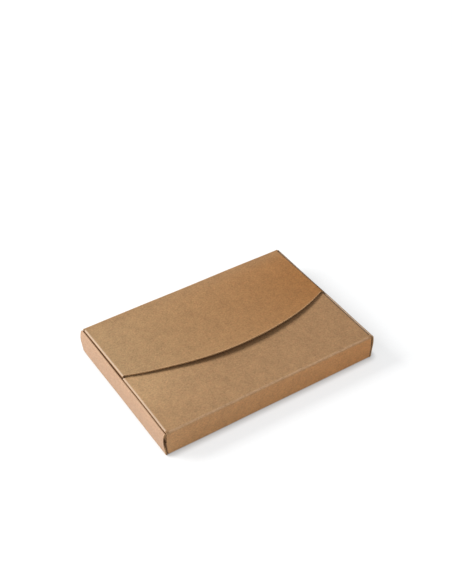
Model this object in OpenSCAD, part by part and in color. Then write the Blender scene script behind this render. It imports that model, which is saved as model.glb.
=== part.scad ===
// Corrugated mailer box: one die-cut sheet of micro-flute board, folded.
// X runs along the front, Y from the front wall to the back wall, Z upwards.
// The origin is the middle of the face that the box stands on.

/* [Box] */
// Length of the box along its front, over the folds at the foot of its ends
box_w = 320; // [240:1:420]
// Depth of the box from the front wall to the back wall
box_d = 220; // [190:1:300]
// Height of the front panel's top face above the ground
front_h = 39.5; // [36:0.5:60]

/* [Board] */
// Thickness of the corrugated board
board = 1.5; // [1.2:0.1:1.7]
// Outer radius of the long folds
fold_r = 2.5; // [2:0.1:3]
// Air between two layers of board that lie together
layer_gap = 0.3; // [0.2:0.05:0.4]

/* [End walls] */
// Drop from the front panel's top face to the rolled ridge of an end wall
ridge_drop = 1.3; // [0.5:0.1:3]
// Lean outwards of the foot of an end wall, in degrees
end_flare = 6.5; // [6:0.1:8]
// Radius of the bow in the upper half of an end wall
bow_r = 47.5; // [44:0.5:52]
// Lean inwards of an end wall just below its ridge, in degrees
crest_angle = 14; // [12:0.5:15]
// Lean of the inner end panel towards the inside of the box, in degrees
inner_lean = 4.6; // [4:0.1:5]
// Distance of an end wall's cut edge behind the face of the wall beside it
end_inset = 0.4; // [0.2:0.1:1]

/* [Locking tabs] */
// Length of each tab under the inner end panels
tab_w = 26; // [16:1:40]
// Distance of each tab's middle from the middle of the end wall
tab_offset = 55; // [30:1:70]
// Play between a tab and the edges of its slot
tab_play = 0.4; // [0.2:0.1:0.8]
// Height of a tab's cut edge above the ground
tab_lift = 0.3; // [0.2:0.1:0.8]

/* [Corner flaps] */
// Length of a corner flap from the wall that it is folded from
corner_flap_l = 45; // [25:1:70]
// Drop from the ridge of the end wall to a corner flap's top edge
corner_flap_drop = 16; // [9.5:0.5:18]
// Outer radius of the upright fold at a corner flap
corner_r = 1.8; // [1.7:0.1:2.2]
// Set-back of a corner flap's free top corner
corner_flap_slant = 6; // [0:1:10]

/* [Front panel and closing flap] */
// Distance from the front wall to the tip of the curved edge
tip_setback = 77.5; // [60:0.5:90]
// Distance of the curved edge's ends behind its tip
curve_sag = 30.8; // [24:0.2:40]
// Reach of the front panel behind the tip of the curved edge
panel_tuck = 70; // [50:1:80]
// Drop from the front panel's top face to the crease of the closing flap
crease_drop = 0.6; // [0:0.1:0.9]
// Angle at which the springy crease holds the closing flap above the panel, in degrees
flap_raise = 1.3; // [1:0.1:2]
// Radius of the upward curl of the closing flap in front of its ears
curl_r = 260; // [200:10:500]
// Distance of the front panel's tongue inside the folds of its ears
tongue_inset = 1.2; // [0.5:0.1:3]

/* [Ears] */
// Depth of the ears that tuck down inside the end walls
ear_h = 24; // [14:1:28]
// Set-back of an ear's lower corners
ear_slant = 10; // [4:1:16]
// Gap between the ears and the end walls
ear_gap = 0.5; // [0.3:0.1:1]
// Length of the notch between the front panel's ears and the closing flap's
ear_notch = 3; // [1.5:0.5:6]
// Distance of the ears' ends from the faces of the front and back walls
ear_inset = 3.6; // [3.2:0.1:6]

/* [Hidden] */
kraft = "#B08A60";
kraft_warm = "#AC8253";
small_arc_angle = 9;
large_arc_angle = 2;
large_arc_r = 20;
rim_sides = 720;
fold_lap = 0.5;
slack = 1;

// A place on a folded strip is [across, up, heading in degrees]
function after_run(place, length) = [
    place[0] + length * cos(place[2]),
    place[1] + length * sin(place[2]),
    place[2]
];
function after_bend(place, radius, turn) = [
    place[0] + radius * (sin(place[2] + turn) - sin(place[2])),
    place[1] + radius * (cos(place[2]) - cos(place[2] + turn)),
    place[2] + turn
];
function arc_angle(radius) = radius > large_arc_r ? large_arc_angle : small_arc_angle;
function arc_places(place, radius, turn) = [
    for (i = [0 : ceil(turn / arc_angle(radius))])
        after_bend(place, radius, turn * i / ceil(turn / arc_angle(radius)))
];

// Places lengthened at both ends, so that a fold laps over the panels that it joins
function lapped(places) = concat(
    [after_run(places[0], -fold_lap)],
    places,
    [after_run(places[len(places) - 1], fold_lap)]
);

// Section of an end wall: fold, flat foot, bow and rolled ridge
foot_turn = 90 - end_flare;
bow_turn = crest_angle + end_flare;
roll_turn = 180 - inner_lean - crest_angle;
roll_r = board + layer_gap / 2;
ridge_h = front_h - ridge_drop;
fold_rise = fold_r * (1 - cos(foot_turn));
bow_rise = bow_r * (cos(foot_turn) - cos(foot_turn + bow_turn));
roll_rise = roll_r * (1 + cos(foot_turn + bow_turn));
foot_run = (ridge_h - fold_rise - bow_rise - roll_rise) / sin(foot_turn);
wall_fold = [box_w / 2 - fold_r, 0, 0];
wall_foot = after_bend(wall_fold, fold_r, foot_turn);
bow_foot = after_run(wall_foot, foot_run);
crest = after_bend(bow_foot, bow_r, bow_turn);
rolled = after_bend(crest, roll_r, roll_turn);
outer_places = concat(
    [after_run(wall_fold, -fold_lap)],
    arc_places(wall_fold, fold_r, foot_turn),
    arc_places(bow_foot, bow_r, bow_turn),
    arc_places(crest, roll_r, roll_turn)
);
inner_places = [after_run(rolled, (rolled[1] - tab_lift) / cos(inner_lean))];

// Faces that lean with the inner end panel, at a height z
function inner_face(z) = rolled[0] + (z - rolled[1]) * tan(inner_lean);
function corner_face(z) = inner_face(z) + (2 * board + layer_gap) / cos(inner_lean);
function wall_half(z) = corner_face(z) - corner_r / cos(inner_lean);

// Upright extent of the corner flaps
corner_foot = fold_r;
corner_top = ridge_h - corner_flap_drop;
foot_half = wall_half(corner_foot) - fold_lap / 2;
corner_half = wall_half(corner_top) - fold_lap / 2;

// Ears and the panels that carry them
ear_turn = 90 + inner_lean;
ear_fold_h = fold_r * (1 - cos(ear_turn));
panel_half = inner_face(front_h - ear_fold_h) - ear_gap / cos(inner_lean) - fold_r * sin(ear_turn);
lip_half = panel_half + fold_r * sin(ear_turn);
tongue_half = panel_half - tongue_inset;

// Curved edge of the closing flap
flap_reach = box_d - tip_setback;
ear_reach = flap_reach - curve_sag;
curve_half = panel_half - fold_lap;
curve_r = (curve_half * curve_half + curve_sag * curve_sag) / (2 * curve_sag);
crease_h = front_h - crease_drop;
curl_turn = asin((curve_sag + slack) / curl_r);

// Where the front panel's ears and its tongue end
panel_ear_end = -box_d / 2 + tip_setback + curve_sag - ear_notch;
tongue_end = -box_d / 2 + tip_setback + panel_tuck;
end_half = box_d / 2 - end_inset;
inner_half = box_d / 2 - board - 2 * layer_gap;

// A profile in X and Z, drawn along Y
module along_y(from, to) {
    translate([0, to, 0])
        rotate([90, 0, 0])
            linear_extrude(to - from)
                children();
}

// A profile in Y and Z, drawn along X
module along_x(from, to) {
    translate([from, 0, 0])
        rotate([90, 0, 90])
            linear_extrude(to - from)
                children();
}

module both_ends() {
    children();
    mirror([1, 0, 0])
        children();
}

module front_and_back() {
    children();
    mirror([0, 1, 0])
        children();
}

// Board seen edge-on along its places, with its outer face on the right of the way
module strip(places) {
    outer = [for (p = places) [p[0], p[1]]];
    inner = [for (p = places) [p[0] - board * sin(p[2]), p[1] + board * cos(p[2])]];
    back = [for (i = [len(inner) - 1 : -1 : 0]) inner[i]];
    polygon(concat(outer, back));
}

// One end: the outer panel, its ridge, and the inner panel cut away between its tabs
module end_wall() {
    foot_gap = board + layer_gap;
    tab_in = tab_offset - tab_w / 2;
    tab_out = tab_offset + tab_w / 2;
    cut_x = inner_face(0) - slack;
    cut_w = 2 * board + 2 * slack;
    along_y(-end_half, end_half)
        strip(outer_places);
    difference() {
        along_y(-inner_half, inner_half)
            strip(concat(outer_places, inner_places));
        translate([cut_x, -tab_in, -slack])
            cube([cut_w, 2 * tab_in, foot_gap + slack]);
        front_and_back()
            translate([cut_x, tab_out, -slack])
                cube([cut_w, inner_half, foot_gap + slack]);
    }
}

// Slots in the base for the locking tabs of one end
module tab_slots() {
    slot_w = board / cos(inner_lean) + board * tan(inner_lean) + 2 * tab_play;
    for (side = [-1, 1])
        translate([inner_face(0) - tab_play, side * tab_offset - tab_w / 2 - tab_play, -slack])
            cube([slot_w, tab_w + 2 * tab_play, board + 2 * slack]);
}

module base_panel() {
    base_x = box_w / 2 - fold_r;
    base_y = box_d / 2 - fold_r;
    difference() {
        translate([-base_x, -base_y, 0])
            cube([2 * base_x, 2 * base_y, board]);
        both_ends()
            tab_slots();
    }
}

// Fold along the foot of the front wall
module foot_fold() {
    mirror([0, 1, 0])
        along_x(-foot_half, foot_half)
            strip(lapped(arc_places([box_d / 2 - fold_r, 0, 0], fold_r, 90)));
}

// Front or back wall up to a height, with cut side edges above its corner flaps
module upright_wall(height) {
    outline = [
        [foot_half, corner_foot],
        [corner_half, corner_top],
        [lip_half, height],
        [-lip_half, height],
        [-corner_half, corner_top],
        [-foot_half, corner_foot]
    ];
    translate([0, board - box_d / 2, 0])
        rotate([90, 0, 0])
            linear_extrude(board)
                polygon(outline);
}

// Back wall, mitred at its top so that only its outer face reaches the crease
module back_wall() {
    mirror([0, 1, 0])
        upright_wall(crease_h);
    along_x(-lip_half, lip_half)
        polygon([
            [box_d / 2 - board, crease_h],
            [box_d / 2, crease_h],
            [box_d / 2, crease_h + board]
        ]);
}

// One corner flap, folded back from the front wall beside the inner end panel
module corner_flap() {
    front_y = -box_d / 2;
    end_y = front_y + corner_flap_l;
    plan = concat(
        [[-fold_lap, 0, 0]],
        arc_places([0, 0, 0], corner_r, 90),
        [[corner_r, corner_flap_l, 90]]
    );
    intersection() {
        translate([wall_half(0), front_y, 0])
            rotate([0, inner_lean, 0])
                linear_extrude(front_h)
                    strip(plan);
        along_x(0, box_w)
            polygon([
                [front_y - slack, corner_foot],
                [end_y, corner_foot],
                [end_y, corner_top - 2 * corner_flap_slant],
                [end_y - corner_flap_slant, corner_top],
                [front_y - slack, corner_top]
            ]);
    }
}

// Half of a top panel with one ear folded down, between two places along Y
module eared_half(from, to, top) {
    fold_top = [panel_half, 0, 0];
    fold_foot = after_bend(fold_top, fold_r, ear_turn);
    ear_foot = after_run(fold_foot, ear_h);
    places = concat([[0, 0, 0]], arc_places(fold_top, fold_r, ear_turn), [ear_foot]);
    ear_top = top - fold_foot[1];
    ear_bottom = top - ear_foot[1] - slack;
    intersection() {
        along_y(from, to)
            translate([0, top])
                mirror([0, 1])
                    strip(places);
        along_x(-slack, lip_half + slack)
            polygon([
                [from, top + slack],
                [from, ear_top],
                [from + ear_slant, ear_bottom],
                [to - ear_slant, ear_bottom],
                [to, ear_top],
                [to, top + slack]
            ]);
    }
}

// Top panel folded back from the front wall, with its ears and its tongue
module front_panel() {
    fold_y = fold_r - box_d / 2;
    ear_y = ear_inset - box_d / 2;
    panel_z = front_h - board;
    tongue_start = panel_ear_end - fold_lap;
    mirror([0, 1, 0])
        along_x(-lip_half, lip_half)
            strip(lapped(arc_places([box_d / 2, front_h - fold_r, 90], fold_r, 90)));
    translate([-lip_half, fold_y, panel_z])
        cube([2 * lip_half, ear_y + fold_lap - fold_y, board]);
    both_ends()
        eared_half(ear_y, panel_ear_end, front_h);
    translate([-tongue_half, tongue_start, panel_z])
        cube([2 * tongue_half, tongue_end - tongue_start, board]);
}

// The whole sheet except the closing flap
module tray() {
    color(kraft) {
        base_panel();
        both_ends()
            end_wall();
        front_and_back() {
            foot_fold();
            both_ends()
                corner_flap();
        }
        upright_wall(front_h - fold_r);
        back_wall();
        front_panel();
    }
}

// Back edge of the closing flap, mitred to meet the back wall at the crease
module crease_edge() {
    edge_y = box_d / 2 - ear_inset - fold_lap;
    along_x(-lip_half, lip_half)
        polygon([
            [edge_y, crease_h],
            [box_d / 2 - board, crease_h],
            [box_d / 2, crease_h + board],
            [edge_y, crease_h + board]
        ]);
}

// Tip of the closing flap in front of its ears, curled up and trimmed to its curved edge
module curved_tip() {
    intersection() {
        translate([0, box_d / 2 - ear_reach, crease_h])
            mirror([0, 1, 0])
                along_x(-panel_half, panel_half)
                    strip(concat([[-fold_lap, 0, 0]], arc_places([0, 0, 0], curl_r, curl_turn)));
        translate([0, box_d / 2 - flap_reach + curve_r, 0])
            cylinder(h = 2 * crease_h, r = curve_r, $fn = rim_sides);
    }
}

// Closing flap laid level, before its crease lifts it
module level_flap() {
    crease_edge();
    both_ends()
        eared_half(box_d / 2 - ear_reach, box_d / 2 - ear_inset, crease_h + board);
    curved_tip();
}

// The flap with the curved edge, hinged where the outer faces of flap and back wall meet
module closing_flap() {
    color(kraft_warm)
        translate([0, box_d / 2, crease_h + board])
            rotate([-flap_raise, 0, 0])
                translate([0, -box_d / 2, -crease_h - board])
                    level_flap();
}

tray();
closing_flap();
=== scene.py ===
"""Looks of the corrugated mailer box: the folded sheet, its kraft board, the floor, light and camera."""

import math

import bmesh
import bpy
import numpy as np
from mathutils import Matrix, Vector


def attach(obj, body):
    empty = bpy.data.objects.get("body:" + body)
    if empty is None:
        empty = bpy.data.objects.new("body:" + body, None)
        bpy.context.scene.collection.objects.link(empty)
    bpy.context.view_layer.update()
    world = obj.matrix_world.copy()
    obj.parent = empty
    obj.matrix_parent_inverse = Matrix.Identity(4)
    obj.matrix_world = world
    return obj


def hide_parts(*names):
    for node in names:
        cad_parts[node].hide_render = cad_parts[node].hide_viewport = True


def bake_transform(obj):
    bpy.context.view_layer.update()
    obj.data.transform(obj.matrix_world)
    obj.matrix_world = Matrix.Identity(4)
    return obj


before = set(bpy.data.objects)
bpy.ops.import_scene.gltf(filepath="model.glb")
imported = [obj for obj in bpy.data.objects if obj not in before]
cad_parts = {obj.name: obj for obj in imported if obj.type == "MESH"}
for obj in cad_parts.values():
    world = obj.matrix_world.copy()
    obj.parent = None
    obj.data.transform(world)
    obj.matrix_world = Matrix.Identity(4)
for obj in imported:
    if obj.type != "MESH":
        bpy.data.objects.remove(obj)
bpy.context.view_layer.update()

MM = 0.001

# The folded sheet as in the CAD, in millimetres and degrees
BOX_W = 320.0  # length along the front, over the folds at the foot of the ends
BOX_D = 220.0  # from the front wall to the back wall
FRONT_H = 39.5  # top face of the front panel above the ground
BOARD = 1.5  # thickness of the board
FOLD_R = 2.5  # outer radius of the long folds
GAP = 0.3  # air between two layers that lie together
RIDGE_DROP = 1.3  # from the front panel's top face down to a rolled ridge
END_FLARE = 6.5  # lean outwards of the foot of an end wall
BOW_R = 47.5  # radius of the bow in an end wall's upper half
CREST = 14.0  # lean inwards of an end wall just below its ridge
LEAN = 4.6  # lean of the inner end panel
END_INSET = 0.4  # of an end wall's cut edge behind the face of the wall beside it
TAB_W = 26.0  # length of a locking tab
TAB_OFFSET = 55.0  # from the middle of the end wall to a tab's middle
TAB_PLAY = 0.4  # between a tab and its slot
TAB_LIFT = 0.3  # of a tab's cut edge above the ground
CORNER_L = 45.0  # length of a corner flap
CORNER_DROP = 16.0  # from the ridge down to a corner flap's top edge
CORNER_R = 1.8  # outer radius of the upright fold at a corner flap
CORNER_SLANT = 6.0  # set-back of a corner flap's free top corner
CORNER_FALL = 2.0  # fall of the top edge there, for each millimetre along it
TIP_SETBACK = 77.5  # from the front wall to the tip of the curved edge
CURVE_SAG = 30.8  # of the curved edge's ends behind its tip
PANEL_TUCK = 70.0  # reach of the front panel behind the tip
CREASE_DROP = 0.6  # from the front panel's top face down to the flap's crease
RAISE = 1.3  # angle at which the crease holds the flap above the panel
CURL_R = 260.0  # radius of the flap's upward curl in front of its ears
TONGUE_INSET = 1.2  # of the front panel's tongue inside the folds of its ears
EAR_H = 24.0  # depth of the ears
EAR_SLANT = 10.0  # set-back of an ear's lower corners
EAR_SLACK = 1.0  # how far the slant's line runs on below the ear
EAR_GAP = 0.5  # between the ears and the end walls
EAR_NOTCH = 3.0  # between the front panel's ears and the flap's
EAR_INSET = 3.6  # of the ears' ends from the faces of the front and back walls
LAP = 0.5  # of one solid over the next

# What the scene adds to the CAD, in millimetres
CREASE_R = 2.0  # outer radius of the crease between back wall and flap
CREASE_FOOT = 36.0  # height at which the crease's own piece begins
LEFT_REACH = 5.5  # how much further back the front panel's left ear goes
RIGHT_REACH = 3.5  # how much further back the panel goes beside its right ear
RIGHT_NOTCH = 8.5  # from there forwards to the end of the right ear
NOTCH_FROM, NOTCH_TO = 1.0, 1.8  # where that notch starts and is full, outside the panel's flat part
OUT_LEFT, OUT_RIGHT = 0.15, 0.3  # how far a wall's cut sides run out at half height
OUT_FROM, OUT_FULL = 120, 157  # where across that starts, and where it is full

# The mesh
PITCH = 2.5  # of the regular grid lines
FLAT_REACH, BASE_REACH = 152.5, 105.0  # outermost regular grid line across and along
TAPER = 3.0  # stretch in which the inner end panel gets narrower, just past the ridge
CORNER_RUN = 36.0  # evenly divided stretch of a corner flap
FOLD_LIMIT = 10.0  # a bend below this radius is a fold, where the paper is rubbed pale and has a painted highlight
TOUCH = 0.01  # slack in comparing two places
SHARP = 38.0  # angle above which two faces meet in a sharp line, in degrees
WELD = 2e-6  # distance in metres below which points are one
NEAR_EDGE = [0.990, 0.996, 1.0]  # last rows of the flap, as shares of the way to its curved edge
EDGE_HIGHLIGHT_FROM, EDGE_WEAR_AND_HIGHLIGHT = 0.995, 0.6  # where along that way the edge is rubbed pale with a painted highlight, and how much


def rad(a):
    return math.radians(a)


def ease(v, a, b):
    """Runs smoothly from 0 at a to 1 at b."""
    t = np.clip((v - a) / (b - a), 0, 1)
    return t * t * (3 - 2 * t)


def run(place, length):
    """The place after a straight run; a place is (across, up, heading in degrees)."""
    a, b, h = place
    return (a + length * math.cos(rad(h)), b + length * math.sin(rad(h)), h)


def bend(place, r, turn):
    """The place after a fold of outer radius r."""
    a, b, h = place
    return (
        a + r * (math.sin(rad(h + turn)) - math.sin(rad(h))),
        b + r * (math.cos(rad(h)) - math.cos(rad(h + turn))),
        h + turn,
    )


def walk(place, steps, at=0.0):
    """Rows [across, up, heading, distance, fold] along a strip of board.

    A step is (length, parts) for a straight run and (radius, turn, parts) for a bend.
    """
    rows = [(*place, at, 0.0)]
    for step in steps:
        if len(step) == 2:
            length, parts = step
            for k in range(1, parts + 1):
                rows.append((*run(place, length * k / parts), at + length * k / parts, 0.0))
            place, at = run(place, length), at + length
        else:
            r, turn, parts = step
            arc = (r - BOARD / 2) * rad(turn)
            bent = 1.0 if r < FOLD_LIMIT else 0.0
            for k in range(1, parts + 1):
                fold = bent * math.sin(math.pi * k / parts)
                rows.append((*bend(place, r, turn * k / parts), at + arc * k / parts, fold))
            place, at = bend(place, r, turn), at + arc
    return np.array(rows)


def inner_side(rows):
    """Across and up of the board's inner face beside each row."""
    h = np.radians(rows[:, 2])
    return rows[:, 0] - BOARD * np.sin(h), rows[:, 1] + BOARD * np.cos(h)


# Derived sizes, by the same formulas as the CAD
foot_turn = 90 - END_FLARE
bow_turn = CREST + END_FLARE
roll_turn = 180 - LEAN - CREST
roll_r = BOARD + GAP / 2
ridge_h = FRONT_H - RIDGE_DROP
rise = FOLD_R * (1 - math.cos(rad(foot_turn)))
rise += BOW_R * (math.cos(rad(foot_turn)) - math.cos(rad(foot_turn + bow_turn)))
rise += roll_r * (1 + math.cos(rad(foot_turn + bow_turn)))
foot_run = (ridge_h - rise) / math.sin(rad(foot_turn))
wall_fold = (BOX_W / 2 - FOLD_R, 0.0, 0.0)
bow_foot = run(bend(wall_fold, FOLD_R, foot_turn), foot_run)
rolled = bend(bend(bow_foot, BOW_R, bow_turn), roll_r, roll_turn)
cos_l, tan_l = math.cos(rad(LEAN)), math.tan(rad(LEAN))


def inner_face(z):
    """Distance from the middle to the face of the inner end panel that looks inwards."""
    return rolled[0] + (z - rolled[1]) * tan_l


def wall_half(z):
    """Half the flat width of the front and back walls, between the folds of their corner flaps."""
    return inner_face(z) + (2 * BOARD + GAP - CORNER_R) / cos_l


corner_foot, corner_top = FOLD_R, ridge_h - CORNER_DROP
foot_half = wall_half(corner_foot) - LAP / 2
corner_half = wall_half(corner_top) - LAP / 2
ear_turn = 90 + LEAN
ear_fold_h = FOLD_R * (1 - math.cos(rad(ear_turn)))
panel_half = inner_face(FRONT_H - ear_fold_h) - EAR_GAP / cos_l - FOLD_R * math.sin(rad(ear_turn))
lip_half = panel_half + FOLD_R * math.sin(rad(ear_turn))
tongue_half = panel_half - TONGUE_INSET
flap_reach = BOX_D - TIP_SETBACK
ear_reach = flap_reach - CURVE_SAG
curve_half = panel_half - LAP
curve_r = (curve_half**2 + CURVE_SAG**2) / (2 * CURVE_SAG)
crease_h = FRONT_H - CREASE_DROP
panel_ear_end = -BOX_D / 2 + TIP_SETBACK + CURVE_SAG - EAR_NOTCH
tongue_end = -BOX_D / 2 + TIP_SETBACK + PANEL_TUCK
end_half = BOX_D / 2 - END_INSET
inner_half = BOX_D / 2 - BOARD - 2 * GAP
slot_in = inner_face(0) - TAB_PLAY
slot_out = slot_in + BOARD / cos_l + BOARD * tan_l + 2 * TAB_PLAY
tab_in, tab_out = TAB_OFFSET - TAB_W / 2, TAB_OFFSET + TAB_W / 2
fold_arc = (FOLD_R - BOARD / 2) * math.pi / 2
base_half_y = BOX_D / 2 - FOLD_R
wall_at = base_half_y + fold_arc + corner_top - corner_foot  # flat place of a wall's upper part


def lines(reach, *extra):
    """Grid lines both ways from the middle: a regular pitch, then the extra ones."""
    half = set(np.round(np.arange(0, reach + 1e-6, PITCH), 6)) | set(extra)
    return np.array(sorted({-v for v in half} | half))


def with_lines(grid, *extra):
    """The grid lines with the extra ones at both sides."""
    return np.array(sorted(set(grid) | set(extra) | {-v for v in extra}))


flat_x = lines(FLAT_REACH, tongue_half, slot_in, panel_half)
foot_x = with_lines(flat_x, foot_half)
base_x = with_lines(foot_x, slot_out, wall_fold[0])
upper_x = with_lines(flat_x, lip_half)
base_y = lines(BASE_REACH, base_half_y, tab_in, tab_out, tab_in - TAB_PLAY, tab_out + TAB_PLAY)
end_y = np.array([-end_half, *base_y, end_half])


class Sheet:
    """Folded board as a shell: grids of its outer and inner face, with a rim where the board is cut."""

    def __init__(self):
        self.points, self.sheet, self.depth, self.fold = [], [], [], []
        self.faces, self.rims = [], []
        self.count = 0

    def add(self, outer, inner, flat, fold=None, cells=None, cut=None):
        """Adds a grid of board: cells marks its faces, and cut(middle) says which open sides get a rim."""
        rows, cols = outer.shape[:2]
        size = rows * cols
        first = self.count
        index = first + np.arange(size).reshape(rows, cols)
        outer_points = outer.reshape(-1, 3)
        self.points += [outer_points, inner.reshape(-1, 3)]
        self.sheet += [flat.reshape(-1, 2)] * 2
        self.depth += [np.ones(size), np.zeros(size)]
        bent = np.zeros((rows, cols)) if fold is None else np.broadcast_to(fold, (rows, cols))
        self.fold += [bent.reshape(-1)] * 2
        self.count += 2 * size
        if cells is None:
            cells = np.ones((rows - 1, cols - 1), bool)
        filled = np.argwhere(cells)
        i, j = filled[len(filled) // 2]
        normal = np.cross(outer[i + 1, j] - outer[i, j], outer[i, j + 1] - outer[i, j])
        looks_out = np.dot(normal, outer[i, j] - inner[i, j]) > 0
        for i, j in filled:
            a, b, c, d = index[i, j], index[i + 1, j], index[i + 1, j + 1], index[i, j + 1]
            ring = (a, b, c, d) if looks_out else (d, c, b, a)
            self.faces.append(ring)
            self.faces.append(tuple(v + size for v in reversed(ring)))
            for (p, q), (ni, nj) in (
                ((a, b), (i, j - 1)),
                ((b, c), (i + 1, j)),
                ((c, d), (i, j + 1)),
                ((d, a), (i - 1, j)),
            ):
                if 0 <= ni < rows - 1 and 0 <= nj < cols - 1 and cells[ni, nj]:
                    continue
                middle = (outer_points[p - first] + outer_points[q - first]) / 2
                if cut is not None and not cut(middle):
                    continue
                if not looks_out:
                    p, q = q, p
                self.rims.append((q, p, p + size, q + size))

    def build(self, name, shape):
        """Makes the object, with its points moved by shape and the flat sheet as its UV map."""
        points = shape(np.concatenate(self.points))
        flat = np.concatenate(self.sheet)
        deep, bent = np.concatenate(self.depth), np.concatenate(self.fold)
        mesh = bpy.data.meshes.new(name)
        bm = bmesh.new()
        depth = bm.verts.layers.float.new("depth")
        fold = bm.verts.layers.float.new("fold")
        uv = bm.loops.layers.uv.new("sheet")
        made = {}
        for k in sorted({v for ring in self.faces + self.rims for v in ring}):
            v = bm.verts.new(points[k] * MM)
            v[depth], v[fold] = deep[k], bent[k]
            made[k] = v
        for material, rings in enumerate((self.faces, self.rims)):
            for ring in rings:
                face = bm.faces.new([made[k] for k in ring])
                face.material_index = material
                face.smooth = True
                for loop, k in zip(face.loops, ring):
                    loop[uv].uv = flat[k] * MM
        bmesh.ops.remove_doubles(bm, verts=bm.verts, dist=WELD)
        bm.to_mesh(mesh)
        bm.free()
        mesh.set_sharp_from_angle(angle=rad(SHARP))
        obj = bpy.data.objects.new(name, mesh)
        bpy.context.scene.collection.objects.link(obj)
        return obj


def stack(x, y, z):
    """Points of a grid from three arrays that spread over it."""
    return np.stack(np.broadcast_arrays(x, y, z), axis=-1).astype(float)


def pair(s, t):
    """Flat places of a grid from two arrays that spread over it."""
    return np.stack(np.broadcast_arrays(s, t), axis=-1).astype(float)


# The tray: base, end walls, front and back
def add_base(sheet):
    """The base, with the slots for the locking tabs."""
    x, y = base_x[:, None], base_y[None, :]
    mid_x = (base_x[1:] + base_x[:-1]) / 2
    mid_y = (base_y[1:] + base_y[:-1]) / 2
    in_x = (abs(mid_x) > slot_in) & (abs(mid_x) < slot_out)
    in_y = (abs(mid_y) > tab_in - TAB_PLAY) & (abs(mid_y) < tab_out + TAB_PLAY)
    slots = in_x[:, None] & in_y[None, :]

    def cut(p):
        if abs(p[0]) > wall_fold[0] - TOUCH:
            return False
        return abs(p[1]) < base_half_y - TOUCH or abs(p[0]) > foot_half

    sheet.add(stack(x, y, 0), stack(x, y, BOARD), pair(x, y), cells=~slots, cut=cut)


def add_end_wall(sheet, side):
    """An end: its fold, the bowed wall, the rolled ridge, and the inner panel with its two tabs."""
    down = (rolled[1] - BOARD - GAP) / cos_l
    wall_steps = [(FOLD_R, foot_turn, 9), (foot_run, 7), (BOW_R, bow_turn, 10), (roll_r, roll_turn, 16)]
    panel_steps = [(TAPER, 2), (down - TAPER, 12), ((BOARD + GAP - TAB_LIFT) / cos_l, 1)]
    rows = walk(wall_fold, wall_steps + panel_steps, wall_fold[0])
    in_x, in_z = inner_side(rows)
    start = sum(step[-1] for step in wall_steps)
    taper = np.zeros(len(rows))
    taper[start:] = np.clip((rows[start:, 3] - rows[start, 3]) / TAPER, 0, 1)
    edge = end_half + (inner_half - end_half) * taper
    y = np.repeat(end_y[None, :], len(rows), axis=0)
    y[:, 0], y[:, -1] = -edge, edge
    mid_y = (end_y[1:] + end_y[:-1]) / 2
    cells = np.ones((len(rows) - 1, len(end_y) - 1), bool)
    cells[-1] = (abs(mid_y) > tab_in) & (abs(mid_y) < tab_out)
    outer = stack(side * rows[:, 0, None], y, rows[:, 1, None])
    inner = stack(side * in_x[:, None], y, in_z[:, None])

    def cut(p):
        at_base = abs(p[2]) < TOUCH and abs(abs(p[0]) - wall_fold[0]) < TOUCH
        return not (at_base and abs(p[1]) < base_half_y)

    sheet.add(outer, inner, pair(side * rows[:, 3, None], y), rows[:, 4, None], cells, cut)


def add_foot(sheet, side):
    """The fold between the base and the front wall (side -1) or the back wall (side 1)."""
    rows = walk((base_half_y, 0.0, 0.0), [(FOLD_R, 90, 9)], base_half_y)
    in_y, in_z = inner_side(rows)
    x = foot_x[None, :]
    outer = stack(x, side * rows[:, 0, None], rows[:, 1, None])
    inner = stack(x, side * in_y[:, None], in_z[:, None])
    flat = pair(x, side * rows[:, 3, None])
    sheet.add(outer, inner, flat, rows[:, 4, None], cut=lambda p: abs(p[0]) > foot_half - TOUCH)


def run_out(points):
    """Lets the cut sides of an upright wall run out a little at half its height."""
    x, z = points[..., 0], points[..., 2]
    up = np.clip((z - corner_foot) / (FRONT_H - FOLD_R - corner_foot), 0, 1)
    bow = ease(abs(x), OUT_FROM, OUT_FULL) * np.sin(np.pi * up)
    points[..., 0] = x + np.where(x < 0, -OUT_LEFT, OUT_RIGHT) * bow
    return points


def add_band(sheet, side):
    """The wall up to its corner flaps' top edges, with the two corner flaps folded from it."""
    steps = [(CORNER_R, 90, 8), (CORNER_RUN, 10), (CORNER_L - CORNER_R - CORNER_RUN, 2)]
    lapped = (-LAP / 2 * cos_l, 0, 0, 0, 0)
    plan = np.array([lapped] + [tuple(row) for row in walk((0.0, 0.0, 0.0), steps)])
    in_a, in_b = inner_side(plan)
    top = corner_top - np.clip(plan[:, 1] - (CORNER_L - CORNER_SLANT), 0, None) * CORNER_FALL
    t = np.linspace(0, 1, 11)[:, None]
    face = BOX_D / 2
    z_flap = corner_foot + (top[None, :] - corner_foot) * t
    z_wall = corner_foot + (corner_top - corner_foot) * t
    half = wall_half(z_flap)
    flap_out = (half + plan[None, :, 0] / cos_l, side * (face - plan[None, :, 1]) + 0 * half, z_flap)
    flap_in = (half + in_a[None, :] / cos_l, side * (face - in_b[None, :]) + 0 * half, z_flap)
    flap_s = half[:1] + plan[None, :, 3] + 0 * half
    x = flat_x[None, :] + 0 * t
    wall_out = (x, side * face + 0 * x, z_wall + 0 * x)
    wall_in = (x, side * (face - BOARD) + 0 * x, z_wall + 0 * x)

    def whole(flap, wall):
        left = stack(-flap[0], flap[1], flap[2])[:, ::-1]
        return run_out(np.concatenate([left, stack(*wall), stack(*flap)], axis=1))

    def cut(p):
        at_wall = abs(p[1]) > face - TOUCH
        if at_wall and p[2] < corner_foot + TOUCH:
            return abs(p[0]) > foot_half
        if at_wall and p[2] > corner_top - TOUCH:
            return abs(p[0]) > corner_half
        return True

    s = np.concatenate([-flap_s[:, ::-1], x, flap_s], axis=1)
    flat_t = side * (base_half_y + fold_arc) + side * (z_wall - corner_foot) + 0 * s
    bent = np.concatenate([plan[::-1, 4], 0 * flat_x, plan[:, 4]])
    sheet.add(whole(flap_out, wall_out), whole(flap_in, wall_in), pair(s, flat_t), bent[None, :], cut=cut)


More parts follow.
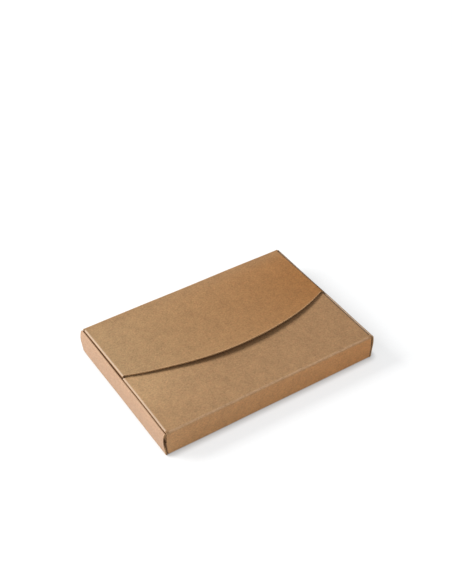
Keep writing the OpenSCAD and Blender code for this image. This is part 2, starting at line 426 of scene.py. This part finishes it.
def wall_x(z, top):
    """Columns of a wall above its corner flaps, where its cut sides run in to the lip."""
    t = np.clip((z - corner_top) / (top - corner_top), 0, 1)
    side = corner_half + (lip_half - corner_half) * t
    return np.where(abs(upper_x) > panel_half + TOUCH, np.sign(upper_x) * side[:, None], upper_x[None, :])


def add_front_top(sheet):
    """Upper front wall, the fold at its top and the lip in front of the ears."""
    up = FRONT_H - FOLD_R - corner_top
    lip = EAR_INSET - FOLD_R
    rows = walk((BOX_D / 2, corner_top, 90.0), [(up, 6), (FOLD_R, 90, 12), (lip, 1)], wall_at)
    in_y, in_z = inner_side(rows)
    x = wall_x(rows[:, 1], FRONT_H - FOLD_R)
    outer = run_out(stack(x, -rows[:, 0, None], rows[:, 1, None]))
    inner = run_out(stack(x, -in_y[:, None], in_z[:, None]))

    def cut(p):
        return abs(p[0]) > (panel_half if p[2] > FRONT_H - TOUCH else lip_half - TOUCH)

    sheet.add(outer, inner, pair(x, -rows[:, 3, None]), rows[:, 4, None], cut=cut)
    return rows[-1, 3]


def both_sides(ear, middle, sign=1.0):
    """Values across a panel: the left ear, the panel, and the right ear."""
    return np.concatenate([sign * ear[::-1], middle, ear])


def eared(front, back, top):
    """Columns of a panel with an ear at each side.

    Outer and inner place across, outer and inner height, flat place across, fold, and front and back end.
    """
    rows = walk((panel_half, 0.0, 0.0), [(FOLD_R, ear_turn, 11), (EAR_H, 8)], panel_half)[1:]
    in_x, in_d = inner_side(rows)
    slope = EAR_SLANT / (EAR_H * math.sin(rad(ear_turn)) + EAR_SLACK)
    none = 0 * flat_x
    x_out = both_sides(rows[:, 0], flat_x, -1.0)
    x_in = both_sides(in_x, flat_x, -1.0)
    z_out = top - both_sides(rows[:, 1], none)
    z_in = top - both_sides(in_d, none + BOARD)
    s = both_sides(rows[:, 3], flat_x, -1.0)
    bent = both_sides(rows[:, 4], none)
    set_back = both_sides(np.clip(rows[:, 1] - ear_fold_h, 0, None) * slope, none)
    return x_out, x_in, z_out, z_in, s, bent, front + set_back, back - set_back


def add_front_panel(sheet, at):
    """The front panel with its ears, up to the notches in front of the closing flap's ears."""
    front = EAR_INSET - BOX_D / 2
    x_out, x_in, z_out, z_in, s, bent, y0, y1 = eared(front, panel_ear_end, FRONT_H)
    right = RIGHT_REACH - RIGHT_NOTCH * ease(x_out, panel_half + NOTCH_FROM, panel_half + NOTCH_TO)
    y1 = y1 + np.where(x_out < -tongue_half - TOUCH, LEFT_REACH, 0)
    y1 = y1 + np.where(x_out > tongue_half + TOUCH, right, 0)
    t = np.linspace(0, 1, 42)[:, None]
    y = y0[None, :] + (y1 - y0)[None, :] * t

    def cut(p):
        if p[1] < front + TOUCH:
            return abs(p[0]) > panel_half
        if p[1] > panel_ear_end - TOUCH:
            return abs(p[0]) > tongue_half
        return True

    outer = stack(x_out[None], y, z_out[None])
    inner = stack(x_in[None], y, z_in[None])
    sheet.add(outer, inner, pair(s[None], -(at + (y - front))), bent[None], cut=cut)


def add_tongue(sheet, at):
    """The rest of the front panel, tucked under the closing flap."""
    front = EAR_INSET - BOX_D / 2
    x = flat_x[abs(flat_x) < tongue_half + TOUCH][None, :]
    y = np.linspace(panel_ear_end, tongue_end, 18)[:, None]
    outer, inner = stack(x, y, FRONT_H), stack(x, y, FRONT_H - BOARD)
    sheet.add(outer, inner, pair(x, -(at + (y - front))), cut=lambda p: p[1] > panel_ear_end + TOUCH)


def add_back_top(sheet):
    """The back wall between its corner flaps' top edges and the crease's own piece."""
    rows = walk((BOX_D / 2, corner_top, 90.0), [(CREASE_FOOT - corner_top, 5)], wall_at)
    x = wall_x(rows[:, 1], crease_h)
    outer = run_out(stack(x, rows[:, 0, None], rows[:, 1, None]))
    inner = run_out(stack(x, rows[:, 0, None] - BOARD, rows[:, 1, None]))
    sheet.add(outer, inner, pair(x, rows[:, 3, None]), cut=lambda p: abs(p[0]) > lip_half - TOUCH)
    return rows[-1, 3]


# The crease between back wall and flap, and the flap
def add_crease(sheet, at):
    """Top of the back wall, the crease, and the flap's first stretch up to its ears."""
    turn = 90 - RAISE
    tangent = CREASE_R * math.tan(rad(turn / 2))
    top = crease_h + BOARD
    steps = [(top - tangent - CREASE_FOOT, 2), (CREASE_R, turn, 10), (EAR_INSET - tangent, 2)]
    rows = walk((BOX_D / 2, CREASE_FOOT, 90.0), steps, at)
    in_y, in_z = inner_side(rows)
    x = wall_x(rows[:, 1], crease_h)
    outer = run_out(stack(x, rows[:, 0, None], rows[:, 1, None]))
    inner = run_out(stack(x, in_y[:, None], in_z[:, None]))
    front = rows[-1, 0] + TOUCH

    def cut(p):
        return abs(p[0]) > lip_half - TOUCH or (p[1] < front and abs(p[0]) > panel_half)

    sheet.add(outer, inner, pair(x, rows[:, 3, None]), rows[:, 4, None], cut=cut)
    return rows[-1, 3]


def edge_shift(x):
    """How far the flap's curved edge lies behind its arc at a place across, as it does in the photo."""
    v = np.clip(x / panel_half, -1, 1)
    u = np.pi * v
    shift = 0.65 - 1.7 * np.cos(u / 2) - 2.2 * np.sin(u) + 0.8 * np.sin(2 * u)
    left_tip = 2.4 * ((1 - v) / 2) ** 12
    right_tip = -1.3 * ((1 + v) / 2) ** 12
    right_part = 0.7 * np.sin(np.pi * np.clip((v - 0.3) / 0.7, 0, 1))
    return shift + left_tip + right_tip + right_part


def warp(points, back, front):
    """Bends the flap up in its middle and down at its right side, more towards its edge."""
    across = np.clip(points[..., 0] / panel_half, -1, 1)
    along = np.clip((back - points[..., 1]) / (back - front), 0, 1)
    points[..., 2] += (0.36 - 0.26 * across - 0.70 * across**2) * along**2


def turn_down(points):
    """Turns level places by the angle at which the crease holds the flap."""
    a = rad(-RAISE)
    y, z = points[..., 1] - BOX_D / 2, points[..., 2] - crease_h - BOARD
    points[..., 1] = BOX_D / 2 + y * math.cos(a) - z * math.sin(a)
    points[..., 2] = crease_h + BOARD + y * math.sin(a) + z * math.cos(a)


def add_flap(sheet, at):
    """The closing flap with its ears and its curved edge, which curls up a little."""
    back, front = BOX_D / 2 - EAR_INSET, BOX_D / 2 - ear_reach
    x_out, x_in, z_out, z_in, s, bent, y0, y1 = eared(front, back, crease_h + BOARD)
    middle = abs(x_out) <= panel_half + 1e-6
    reach = np.sqrt(np.clip(curve_r**2 - np.clip(abs(x_out), 0, curve_half) ** 2, 0, None))
    y0 = np.where(middle, BOX_D / 2 - flap_reach + curve_r - reach, y0)
    t = np.append(np.linspace(0, 1, 56)[:-1], NEAR_EDGE)[:, None]
    # The last rows at the curved edge are rubbed pale, with a painted highlight along the edge.
    edge_wear_and_highlight = np.where((t > EDGE_HIGHLIGHT_FROM) & middle[None], EDGE_WEAR_AND_HIGHLIGHT, bent[None])
    y = y1[None] + (y0 - y1)[None] * t
    y += np.clip((y1 - y) / (y1 - y0), 0, 1) ** 2 * edge_shift(x_out)
    ahead = np.clip(front - y, 0, None)
    tilt = np.where(middle[None], np.arcsin(ahead / CURL_R), 0)
    curl = 1 - np.cos(tilt)
    outer = stack(x_out[None], y, z_out[None] + CURL_R * curl)
    inner = stack(x_in[None], y - BOARD * np.sin(tilt), z_in[None] + (CURL_R + BOARD) * curl)
    flat_t = at + back - y
    for face in (outer, inner):
        warp(face, back, front)
        turn_down(face)

    def cut(p):
        return abs(p[0]) > panel_half or p[1] < back - 1.0

    sheet.add(outer, inner, pair(s[None], flat_t), edge_wear_and_highlight, cut=cut)


# Hand-folded board is never quite true
rng = np.random.default_rng(7)


def waves(count, shortest, longest):
    """Random waves: their wave vectors, phases, and pushes along the axes; lengths in millimetres."""
    size = rng.uniform(shortest, longest, count)
    way = rng.normal(size=(count, 3))
    way /= np.linalg.norm(way, axis=1)[:, None]
    phase = rng.uniform(0, 2 * np.pi, count)
    push = rng.normal(size=(count, 3))
    return 2 * np.pi / size[:, None] * way, phase, push


def swell(points, field):
    """Sum of the waves at each point."""
    k, phase, push = field
    return np.sin(points @ k.T + phase) @ push / math.sqrt(len(phase))


slow = waves(count=14, shortest=70, longest=160)
quick = waves(count=20, shortest=16, longest=34)
crinkle = waves(count=18, shortest=7, longest=26)
SLOW_PUSH, QUICK_PUSH, CRINKLE_PUSH = 0.26, 0.035, 0.16
FIRM_BELOW = 22  # height up to which the waves have less and less lift, because the base lies flat
FOLD_Y, FOLD_Z, FOLD_SPREAD = -109, 38.5, 2.6  # the front panel's fold, which is crinkled
CRINKLE_FROM, CRINKLE_TO = 150, 157  # where across the crinkle gets less, and ends


def settled(points):
    """The points moved by the waves, and by the crinkle along the front panel's fold."""
    up = np.array([0, 0, 1])
    level = np.array([1, 1, 0])
    lift = ease(points[:, 2], 0, FIRM_BELOW)[:, None] * up + level
    moved = points + SLOW_PUSH * swell(points, slow) * lift
    moved += QUICK_PUSH * swell(points, quick) * lift
    off_fold = (points[:, 1] - FOLD_Y) ** 2 + (points[:, 2] - FOLD_Z) ** 2
    near = np.exp(-off_fold / (2 * FOLD_SPREAD**2))
    near *= 1 - ease(abs(points[:, 0]), CRINKLE_FROM, CRINKLE_TO)
    along_fold = points * np.array([1.0, 0.1, 0.1])
    moved += CRINKLE_PUSH * near[:, None] * swell(along_fold, crinkle) * np.array([0, 1, 1])
    return moved


tray_sheet = Sheet()
add_base(tray_sheet)
for end in (1, -1):
    add_end_wall(tray_sheet, end)
    add_foot(tray_sheet, end)
    add_band(tray_sheet, end)
panel_at = add_front_top(tray_sheet)
add_front_panel(tray_sheet, panel_at)
add_tongue(tray_sheet, panel_at)
crease_at = add_back_top(tray_sheet)

crease_sheet = Sheet()
flap_at = add_crease(crease_sheet, crease_at)
flap_sheet = Sheet()
add_flap(flap_sheet, flap_at)

tray = tray_sheet.build("board_tray", settled)
crease = crease_sheet.build("board_crease", settled)
flap = flap_sheet.build("board_flap", settled)


# Materials
def srgb(red, green, blue):
    """A screen colour in steps of 255, as linear light."""
    return tuple(((v / 255 + 0.055) / 1.055) ** 2.4 for v in (red, green, blue)) + (1.0,)


class Nodes:
    """A material, with short calls for its nodes; a value is a number or a socket."""

    def __init__(self, name):
        self.material = bpy.data.materials.new(name)
        self.material.use_nodes = True
        self.tree = self.material.node_tree
        self.tree.nodes.clear()
        self.out = self.tree.nodes.new("ShaderNodeOutputMaterial")

    def feed(self, socket, value):
        if isinstance(value, bpy.types.NodeSocket):
            self.tree.links.new(value, socket)
        else:
            socket.default_value = value

    def put(self, kind, inputs=None, **settings):
        node = self.tree.nodes.new(kind)
        for key, value in settings.items():
            setattr(node, key, value)
        for key, value in (inputs or {}).items():
            self.feed(node.inputs[key], value)
        return node

    def math(self, operation, a, b=0.0, c=0.0, clamp=False):
        node = self.put("ShaderNodeMath", {0: a, 1: b, 2: c}, operation=operation, use_clamp=clamp)
        return node.outputs[0]

    def times(self, value, *others):
        for other in others:
            value = self.math("MULTIPLY", value, other)
        return value

    def scaled(self, value, factor, plus):
        return self.math("MULTIPLY_ADD", value, factor, plus)

    def away(self, value, centre=0.0):
        """How far a value is from a centre."""
        return self.math("ABSOLUTE", self.math("SUBTRACT", value, centre))

    def mix(self, factor, a, b, blend="MIX"):
        node = self.put("ShaderNodeMix", data_type="RGBA", blend_type=blend)
        inputs = {socket.identifier: socket for socket in node.inputs}
        outputs = {socket.identifier: socket for socket in node.outputs}
        for key, value in (("Factor_Float", factor), ("A_Color", a), ("B_Color", b)):
            self.feed(inputs[key], value)
        return outputs["Result_Color"]

    def tinted(self, colour, tint):
        return self.mix(1.0, colour, tint, "MULTIPLY")

    def vector(self, x, y, z):
        return self.put("ShaderNodeCombineXYZ", {0: x, 1: y, 2: z}).outputs[0]

    def grey(self, value):
        return self.vector(value, value, value)

    def ramp(self, value, low, high, to_low=0.0, to_high=1.0):
        """Smooth change from to_low at low to to_high at high."""
        inputs = {"Value": value, "From Min": low, "From Max": high, "To Min": to_low, "To Max": to_high}
        node = self.put("ShaderNodeMapRange", inputs, interpolation_type="SMOOTHSTEP", clamp=True)
        return node.outputs["Result"]

    def fade(self, value, low, high):
        """Smooth change from 1 at low to 0 at high."""
        return self.ramp(value, low, high, 1.0, 0.0)

    def band(self, value, low, full, fall, high):
        """1 from full to fall, and 0 below low and above high."""
        return self.times(self.ramp(value, low, full), self.fade(value, fall, high))

    def noise(self, vector, scale, detail=2.0, rough=0.5, distort=0.0):
        inputs = {"Vector": vector, "Scale": scale, "Detail": detail}
        inputs |= {"Roughness": rough, "Distortion": distort}
        return self.put("ShaderNodeTexNoise", inputs).outputs["Fac"]

    def stretch(self, vector, squash, angle=0.0):
        """Places for marks that are drawn out along the second axis and turned by an angle."""
        inputs = {"Vector": vector, "Scale": (1, squash, 1), "Rotation": (0, 0, rad(angle))}
        return self.put("ShaderNodeMapping", inputs).outputs["Vector"]

    def finish(self, shader):
        self.tree.links.new(shader.outputs[0], self.out.inputs["Surface"])
        return self.material


class BoardNodes(Nodes):
    """Nodes with places on the flat sheet in metres: s from the middle to the right, t to the back."""

    def __init__(self, name):
        super().__init__(name)
        self.sheet = self.put("ShaderNodeUVMap", uv_map="sheet").outputs["UV"]
        self.s, self.t = self.put("ShaderNodeSeparateXYZ", {0: self.sheet}).outputs[:2]
        self.far_s = self.away(self.s)
        self.far_t = self.away(self.t)

    def attribute(self, name):
        return self.put("ShaderNodeAttribute", attribute_name=name).outputs["Fac"]


# Colours of the board. Their drift from lighter on the left to darker on the right is partly the board's own
# and partly painted light from the key light on the left
TRAY_LEFT, TRAY_BY_FLAP, TRAY_RIGHT = srgb(174, 136, 97), srgb(190, 153, 112), srgb(169, 130, 92)
FLAP_LEFT, FLAP_BACK, FLAP_RIGHT = srgb(176, 142, 103), srgb(173, 122, 74), srgb(165, 113, 63)
WALL_LEFT, WALL_RIGHT = srgb(185, 140, 96), srgb(187, 132, 81)
LEFT_END_SHEEN, RIGHT_END = srgb(188, 152, 124), srgb(184, 146, 110)
TUCKED_SHADE, RIDGE_PAINTED_LIGHT = srgb(118, 84, 54), srgb(156, 138, 121)
SPECK, HAIR = srgb(92, 64, 40), srgb(122, 90, 60)
COOL_TINT, WARM_TINT = (0.992, 1.009, 0.99, 1), (1.010, 0.991, 0.98, 1)
RUBBED_AND_HIGHLIGHT, SLIT_SHADE = srgb(230, 188, 148), srgb(104, 72, 42)
LEFT_EAR_HIGHLIGHT, RIGHT_EAR_SHADE = srgb(203, 179, 156), srgb(88, 58, 35)
EDGE_LIT, EDGE_HOLLOW_SHADE, EDGE_SHADED = srgb(214, 176, 132), srgb(146, 108, 70), srgb(86, 58, 34)

# Zones of the flat sheet in metres, along s or t. A single value is a zone's centre, two are where a
# zone starts and is full, or is full and ends, and four are a band's (low, full, fall, high).
# A share says how much of the zone's colour covers the rest.
FLAP_T, FLAP_RIGHT_T = (0.135, 0.175), (0.150, 0.220)
BY_FLAP_T, BY_FLAP_ACROSS = (-0.235, -0.150), (0.0, 0.40)
WALL_T, WALL_REACH = 0.127, (0.014, 0.020)
END_S, END_T = (0.159, 0.164), (0.1105, 0.1120)
TUCKED_S, TUCKED_T = (0.1562, 0.1575, 0.161, 0.168), (0.142, 0.146)
RIDGE_S, RIDGE_SHARE = (0.1925, 0.1940, 0.1980, 0.2000), 0.8
LEFT_EAR_S, LEFT_EAR_SHARE = (-0.1570, -0.1562, -0.156, -0.150), 0.85
RIGHT_EAR_S, RIGHT_EAR_SHARE = (0.150, 0.156, 0.159, 0.160), 0.95
EARS_T = (0.1475, 0.1490)
END_FOLDS_S, END_FOLDS_SHARE = (0.17, 0.18), 0.4
SLIT_S, SLIT_T, SLIT_REACH = (0.1562, 0.1568, 0.160, 0.162), 0.1203, (0.0100, 0.0104)
RIM_S, RIM_T, RIM_REACH, RIM_SHARE = (-0.196, -0.186, -0.180, -0.166), 0.1096, (0.0004, 0.0006), 0.8
TONES_PER_M = 3.1  # change of tone for each metre to the right, partly the board's own and partly painted light, so it takes 0.32 m in all

# Marks on the paper: how many a metre, the values of their noise between which they fade in, their share
FLUTE_PITCH, FLUTE_SHARE = 0.0032, 0.006
WARMTH_PER_M, WARMTH_FROM = 170, (0.40, 0.66)
SPECKS_PER_M, SPECK_SIZE, SPECK_SHARE = 190.0, (0.03, 0.10), 0.55
SPECKS_LEFT_OUT = 0.93  # as a share of all the places for them
HAIRS_PER_M, HAIR_SQUASH, HAIR_ANGLE, HAIR_FROM, HAIR_SHARE = 900, 0.10, 63, (0.70, 0.76), 0.30
PATCHES_PER_M, PATCH_SQUASH, PATCH_FROM = 240, 3, (0.30, 0.66)
# How pale the folds are rubbed, which also gives them a painted highlight where they catch the light
PATCH_WEAR_AND_HIGHLIGHT, FOLD_WEAR_AND_HIGHLIGHT = 0.45, 0.28

# Noises of the paper: marks per metre, squash, angle, detail, roughness, distortion, share of the tone
PAPER_NOISES = {
    "cloud": (60, 0.6, 0, 2.0, 0.6, 0.0, 0.30),
    "blotch": (150, 0.7, 20, 2.0, 0.6, 0.0, 0.34),
    "mottle": (380, 1.0, 0, 3.0, 0.65, 0.0, 0.88),
    "grain": (1500, 0.35, 8, 2.0, 0.6, 0.0, 0.66),
    "fibre": (2600, 0.12, 24, 2.0, 0.6, 0.3, 0.30),
}


def board_colour(n, at_end):
    """Colour of the board by place: tray, closing flap, upright walls, ends, tucked ears, right ridge;
    partly painted light.
    """
    place = n.put("ShaderNodeTexCoord").outputs["Object"]
    x = n.put("ShaderNodeSeparateXYZ", {0: place}).outputs[0]
    # Partly painted light: tray, flap and walls run from lighter on the left, towards the key light, to
    # darker on the right; the flap is darker still towards its front right, and the front panel is lighter
    # at its back left.
    across = n.math("MULTIPLY_ADD", x, TONES_PER_M, 0.5, clamp=True)
    by_flap = n.times(n.fade(n.t, *BY_FLAP_T), n.fade(across, *BY_FLAP_ACROSS))
    colour = n.mix(across, n.mix(by_flap, TRAY_LEFT, TRAY_BY_FLAP), TRAY_RIGHT)
    on_flap = n.ramp(n.t, *FLAP_T)
    flap_right = n.mix(n.ramp(n.t, *FLAP_RIGHT_T), FLAP_BACK, FLAP_RIGHT)
    colour = n.mix(on_flap, colour, n.mix(across, FLAP_LEFT, flap_right))
    upright = n.fade(n.away(n.far_t, WALL_T), *WALL_REACH)
    upright = n.times(upright, n.math("SUBTRACT", 1.0, on_flap))
    colour = n.mix(upright, colour, n.mix(across, WALL_LEFT, WALL_RIGHT))
    # Painted sheen: the left end is paler and pinker, for the key light grazing it.
    colour = n.mix(at_end, colour, n.mix(n.math("GREATER_THAN", n.s, 0.0), LEFT_END_SHEEN, RIGHT_END))
    # Painted shade: the ears tucked inside the end walls are darker, as shade falls there.
    tucked = n.times(n.band(n.far_s, *TUCKED_S), n.ramp(n.far_t, *TUCKED_T))
    colour = n.mix(tucked, colour, TUCKED_SHADE)
    # Painted light: the right ridge is greyer, for the light its inner side catches from the back left.
    return n.mix(n.times(n.band(n.s, *RIDGE_S), RIDGE_SHARE), colour, RIDGE_PAINTED_LIGHT)


def paper_tone(n, at_end, noises, flute):
    """Brightness of the paper around 1: its noises, calmer at the ends, and the flutes that show through."""
    tone = 1.0
    for name, (*_, share) in PAPER_NOISES.items():
        tone = n.scaled(n.math("SUBTRACT", noises[name], 0.5), share, tone)
    tone = n.scaled(n.math("SUBTRACT", tone, 1.0), n.scaled(at_end, -0.5, 1.0), 1.0)
    return n.scaled(flute, FLUTE_SHARE, tone)


def flecked(n, colour):
    """The colour with warmer and cooler patches, dark specks and single dark fibres."""
    warmth = n.ramp(n.noise(n.sheet, WARMTH_PER_M), *WARMTH_FROM)
    colour = n.tinted(colour, n.mix(warmth, COOL_TINT, WARM_TINT))
    inputs = {"Vector": n.sheet, "Scale": SPECKS_PER_M, "Randomness": 1.0}
    dots = n.put("ShaderNodeTexVoronoi", inputs, feature="F1").outputs
    chance = n.put("ShaderNodeSeparateXYZ", {0: dots["Color"]}).outputs[0]
    picked = n.math("GREATER_THAN", chance, SPECKS_LEFT_OUT)
    speck = n.times(n.fade(dots["Distance"], *SPECK_SIZE), picked)
    colour = n.mix(n.times(speck, SPECK_SHARE), colour, SPECK)
    drawn_out = n.stretch(n.sheet, HAIR_SQUASH, HAIR_ANGLE)
    hair = n.ramp(n.noise(drawn_out, HAIRS_PER_M, detail=2.0, rough=0.7, distort=0.6), *HAIR_FROM)
    return n.mix(n.times(hair, HAIR_SHARE), colour, HAIR)


def creased(n, colour):
    """Folds pale from rubbing and painted highlights, the ears' folds painted lit and shaded, painted shade
    in the slits beside the walls.
    """
    fold = n.attribute("fold")
    patches = n.noise(n.stretch(n.sheet, PATCH_SQUASH), PATCHES_PER_M, detail=3.0, rough=0.7)
    wear_and_highlight = n.scaled(n.ramp(patches, *PATCH_FROM), PATCH_WEAR_AND_HIGHLIGHT, FOLD_WEAR_AND_HIGHLIGHT)
    # Folds rubbed pale: partly real wear, partly a painted highlight along the creases.
    rubbed_and_highlight = n.times(fold, wear_and_highlight, n.ramp(n.far_s, *END_FOLDS_S, 1.0, END_FOLDS_SHARE))
    right_ear = n.band(n.s, *RIGHT_EAR_S)
    left_ear = n.band(n.s, *LEFT_EAR_S)
    rubbed_and_highlight = n.times(rubbed_and_highlight, n.math("SUBTRACT", 1.0, n.math("MAXIMUM", right_ear, left_ear)))
    colour = n.mix(rubbed_and_highlight, colour, RUBBED_AND_HIGHLIGHT)
    ear_fold = n.times(fold, n.ramp(n.far_t, *EARS_T))
    # Painted highlight on the left ears' folds, which face the key light, and painted shade on the right
    # ears' folds.
    colour = n.mix(n.times(ear_fold, left_ear, LEFT_EAR_SHARE), colour, LEFT_EAR_HIGHLIGHT)
    colour = n.mix(n.times(ear_fold, right_ear, RIGHT_EAR_SHARE), colour, RIGHT_EAR_SHADE)
    # Painted shade in the slits between the upright walls and the end walls.
    slit_shade = n.times(n.band(n.far_s, *SLIT_S), n.fade(n.away(n.far_t, SLIT_T), *SLIT_REACH))
    return n.mix(slit_shade, colour, SLIT_SHADE)


def kraft_liner():
    """Unbleached kraft liner: clouded colour, fine fibres and specks, faint flutes, folds pale from rubbing,
    painted light and shade.
    """
    n = BoardNodes("kraft_liner")
    at_end = n.times(n.ramp(n.far_s, *END_S), n.fade(n.far_t, *END_T))
    noises = {}
    for name, (scale, squash, angle, detail, rough, distort, _) in PAPER_NOISES.items():
        noises[name] = n.noise(n.stretch(n.sheet, squash, angle), scale, detail, rough, distort)
    flute = n.math("SINE", n.times(n.s, 2 * math.pi / FLUTE_PITCH))
    tone = n.grey(paper_tone(n, at_end, noises, flute))
    colour = creased(n, flecked(n, n.tinted(board_colour(n, at_end), tone)))
    height = n.scaled(noises["mottle"], 0.5, n.times(noises["grain"], 0.6))
    height = n.scaled(noises["fibre"], 0.5, height)
    height = n.scaled(flute, 0.10, height)
    bump = n.put("ShaderNodeBump", {"Strength": 0.30, "Distance": 0.00012, "Height": height}).outputs[0]
    rough = n.scaled(noises["mottle"], 0.16, 0.60)
    inputs = {"Base Color": colour, "Roughness": rough, "Normal": bump, "Specular IOR Level": 0.36}
    return n.finish(n.put("ShaderNodeBsdfPrincipled", inputs))


def cut_edge():
    """Raw cut edge: two liners, and the corrugated medium between them, with painted shade in the hollows
    and at the left front slit.
    """
    n = BoardNodes("cut_edge")
    depth = n.attribute("depth")
    wobble = n.times(n.noise(n.sheet, 260), 1.2)
    wave = n.math("SINE", n.scaled(n.s, 2 * math.pi / FLUTE_PITCH, wobble))
    medium = n.fade(n.math("ABSOLUTE", n.math("SUBTRACT", depth, n.scaled(wave, 0.36, 0.5))), 0.10, 0.22)
    liner = n.ramp(n.away(depth, 0.5), 0.33, 0.40)
    solid = n.math("MAXIMUM", medium, liner)
    shade = n.scaled(n.noise(n.sheet, 1400, 2.0, 0.6), 0.5, 0.75)
    # Painted shade: the hollows between the liners and the medium get a dark colour.
    colour = n.mix(solid, EDGE_HOLLOW_SHADE, n.tinted(EDGE_LIT, n.grey(shade)))
    # Painted shade on the left end wall's front cut edge, inside the slit.
    slit_shade = n.times(n.band(n.s, *RIM_S), n.fade(n.away(n.far_t, RIM_T), *RIM_REACH))
    colour = n.mix(n.times(slit_shade, RIM_SHARE), colour, EDGE_SHADED)
    bump = n.put("ShaderNodeBump", {"Strength": 0.8, "Distance": 0.0003, "Height": solid}).outputs[0]
    inputs = {"Base Color": colour, "Roughness": 0.9, "Normal": bump, "Specular IOR Level": 0.2}
    return n.finish(n.put("ShaderNodeBsdfPrincipled", inputs))


kraft = kraft_liner()
edge = cut_edge()
for piece in (tray, crease, flap):
    piece.data.materials.append(kraft)
    piece.data.materials.append(edge)

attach(tray, "box")
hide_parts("tray")
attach(flap, "flap")
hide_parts("closing_flap")
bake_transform(crease)

# Floor, light and camera, in metres
scene = bpy.context.scene
FLOOR_HALF = 6
FLOOR_TONE, FLOOR_SEEN = 0.84, 0.35  # tone of the paper for bounced light, and where it is seen


def floor_paper():
    """White paper that glows for the camera, with a painted shadow where the box stands close by."""
    n = Nodes("floor_paper")
    grain = n.noise(n.put("ShaderNodeTexCoord").outputs["Object"], 40)
    path = n.put("ShaderNodeLightPath").outputs
    mirrored = n.math("MAXIMUM", path["Is Glossy Ray"], path["Is Transmission Ray"])
    seen = n.math("MAXIMUM", path["Is Camera Ray"], mirrored)
    tone = n.scaled(grain, 0.01, n.scaled(seen, FLOOR_SEEN - FLOOR_TONE, FLOOR_TONE))
    # Painted shadow: the glow dims where the air near the box is closed towards the key light, and more
    # widely on its right side.
    close_air = open_air(n, 0.010, (-0.62, 0.25, 0.74))
    wide_air = open_air(n, 0.12, (-0.72, -0.45, 0.53))
    strength = n.times(seen, n.scaled(close_air, 0.66, n.scaled(wide_air, 0.15, -0.06)))
    matt = n.put("ShaderNodeBsdfDiffuse", {"Color": n.grey(tone)}).outputs[0]
    glow = n.put("ShaderNodeEmission", {"Color": (0.99, 1.0, 1.01, 1), "Strength": strength}).outputs[0]
    return n.finish(n.put("ShaderNodeAddShader", {0: matt, 1: glow}))


def open_air(n, reach, way):
    """How much of the air within reach is open, on the side that the way points to."""
    inputs = {"Distance": reach, "Normal": n.vector(*way)}
    return n.put("ShaderNodeAmbientOcclusion", inputs, samples=16).outputs["AO"]


corners = [(-1, -1), (1, -1), (1, 1), (-1, 1)]
floor_mesh = bpy.data.meshes.new("floor")
floor_mesh.from_pydata([(x * FLOOR_HALF, y * FLOOR_HALF, 0) for x, y in corners], [], [(0, 1, 2, 3)])
floor_mesh.materials.append(floor_paper())
floor = bpy.data.objects.new("floor", floor_mesh)
scene.collection.objects.link(floor)


def set_world():
    """An even, slightly warm sky that the camera sees as white."""
    world = bpy.data.worlds.new("studio")
    world.use_nodes = True
    nodes, links = world.node_tree.nodes, world.node_tree.links
    sky = nodes["Background"]
    sky.inputs["Color"].default_value = (1, 0.985, 0.96, 1)
    sight = nodes.new("ShaderNodeLightPath")
    level = nodes.new("ShaderNodeMath")
    level.operation = "MULTIPLY_ADD"
    level.inputs[1].default_value = 0.72
    level.inputs[2].default_value = 0.33
    links.new(sight.outputs["Is Camera Ray"], level.inputs[0])
    links.new(level.outputs[0], sky.inputs["Strength"])
    scene.world = world


def area_light(name, toward, distance, long, wide, power):
    """A rectangular light whose long side lies as near to the X axis as it can while it faces the box."""
    data = bpy.data.lights.new(name, "AREA")
    data.shape, data.size, data.size_y, data.energy = "RECTANGLE", long, wide, power
    light = bpy.data.objects.new(name, data)
    way = Vector(toward).normalized()
    side = (Vector((1, 0, 0)) - way * way.x).normalized()
    turned = Matrix((side, way.cross(side), way)).transposed().to_4x4()
    light.matrix_world = Matrix.Translation(way * distance) @ turned
    scene.collection.objects.link(light)


def aim_camera(azimuth, elevation, distance, target, lens):
    """A camera on the side that the azimuth and the elevation name, looking at the target."""
    az, el = rad(azimuth), rad(elevation)
    back = Vector((math.sin(az) * math.cos(el), -math.cos(az) * math.cos(el), math.sin(el)))
    data = bpy.data.cameras.new("camera")
    data.sensor_width = 36
    data.lens = lens
    camera = bpy.data.objects.new("camera", data)
    camera.location = Vector(target) + back * distance
    camera.rotation_mode = "QUATERNION"
    camera.rotation_quaternion = (-back).to_track_quat("-Z", "Y")
    scene.collection.objects.link(camera)
    scene.camera = camera


set_world()
area_light("key", (-0.62, 0.52, 0.56), distance=4.0, long=2.2, wide=1.3, power=180.0)
area_light("front", (0.10, -0.98, 0.15), distance=3.0, long=2.6, wide=0.8, power=24.0)
aim_camera(azimuth=-32.881, elevation=40.536, distance=1.5089, target=(0.06907, 0.10896, 0), lens=64.33)
scene.view_settings.view_transform = "Standard"
